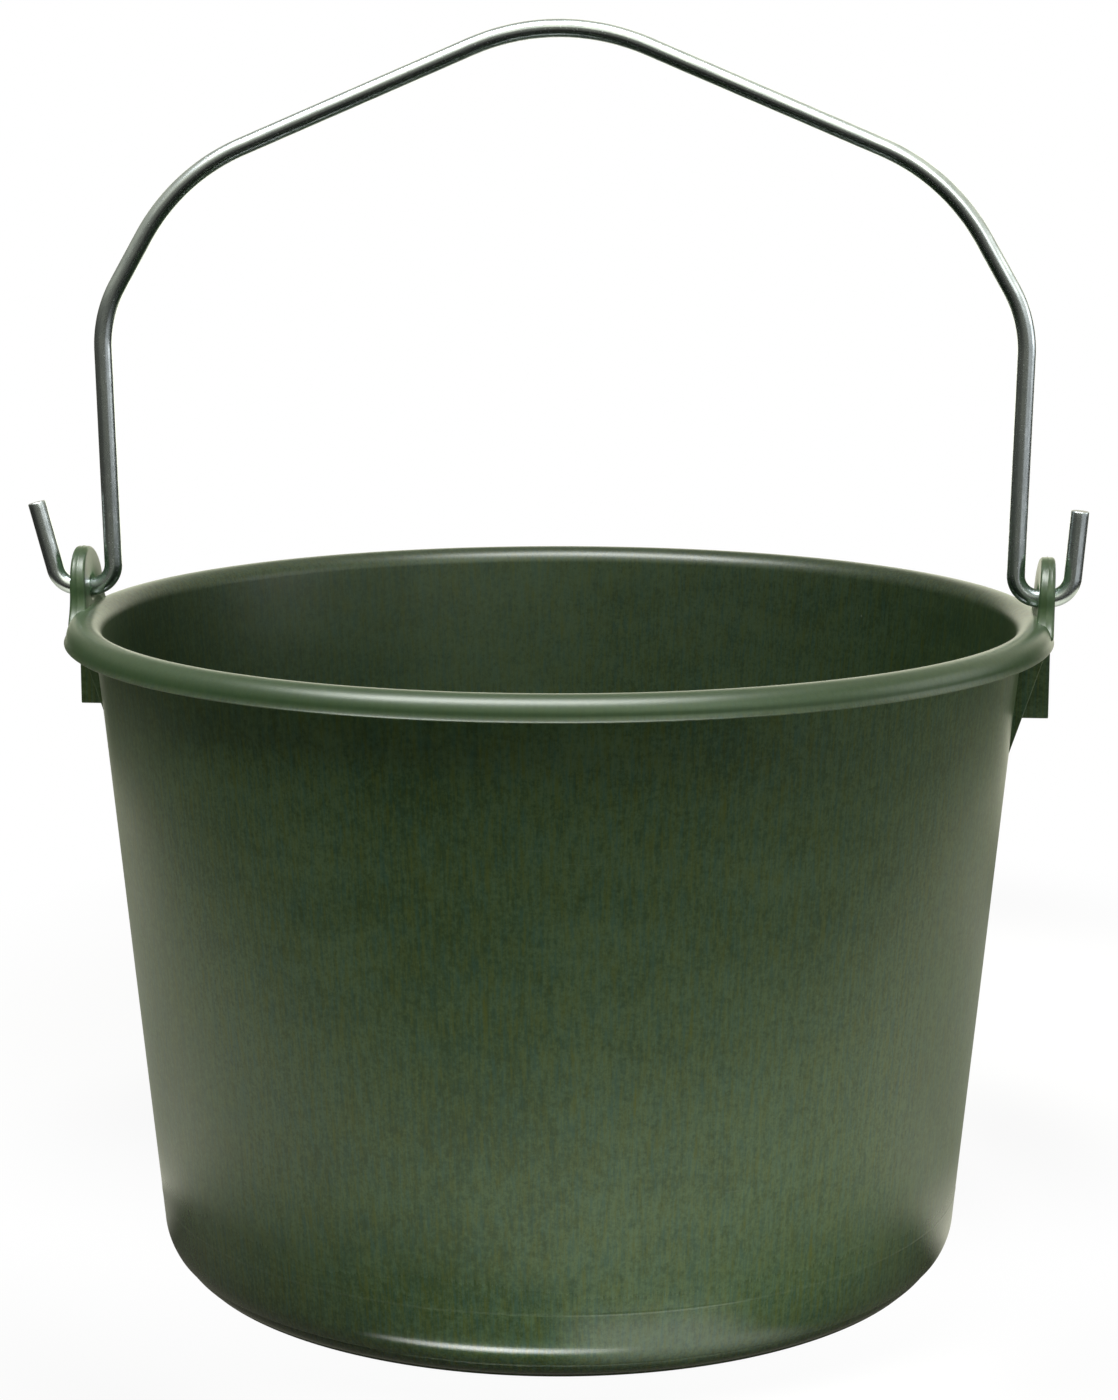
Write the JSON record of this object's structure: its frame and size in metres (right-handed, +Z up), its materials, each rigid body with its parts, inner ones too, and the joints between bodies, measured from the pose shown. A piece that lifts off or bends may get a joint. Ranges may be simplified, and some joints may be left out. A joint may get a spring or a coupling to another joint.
{
  "type": "mixing bucket",
  "caption": "Tapered open bucket with a rolled rim, an inset foot ring and arched rim ears, carried by a bent wire bail that hooks through the eyes and swings to either side.",
  "frame": {"origin": "on the axis of the body, in the plane that the foot ring rests on", "axes": "+Z up along the body's axis; X through the two ear eyes, with the more open hook of the bail on -X"},
  "size_m": [0.4107, 0.38, 0.4771],
  "materials": {
    "green_plastic": "satin dark green moulded polyethylene",
    "zinc_wire": "bright zinc-plated drawn steel wire"
  },
  "bodies": {
    "bucket": {"bucket_body": "green_plastic"},
    "bail": {"bail": "zinc_wire"}
  },
  "joints": [
    {"name": "bail_swing", "type": "hinge", "parent": "bucket", "child": "bail", "pos_m": [0, 0, 0.26], "axis": [1, 0, 0], "range_deg": [-93, 93]}
  ]
}
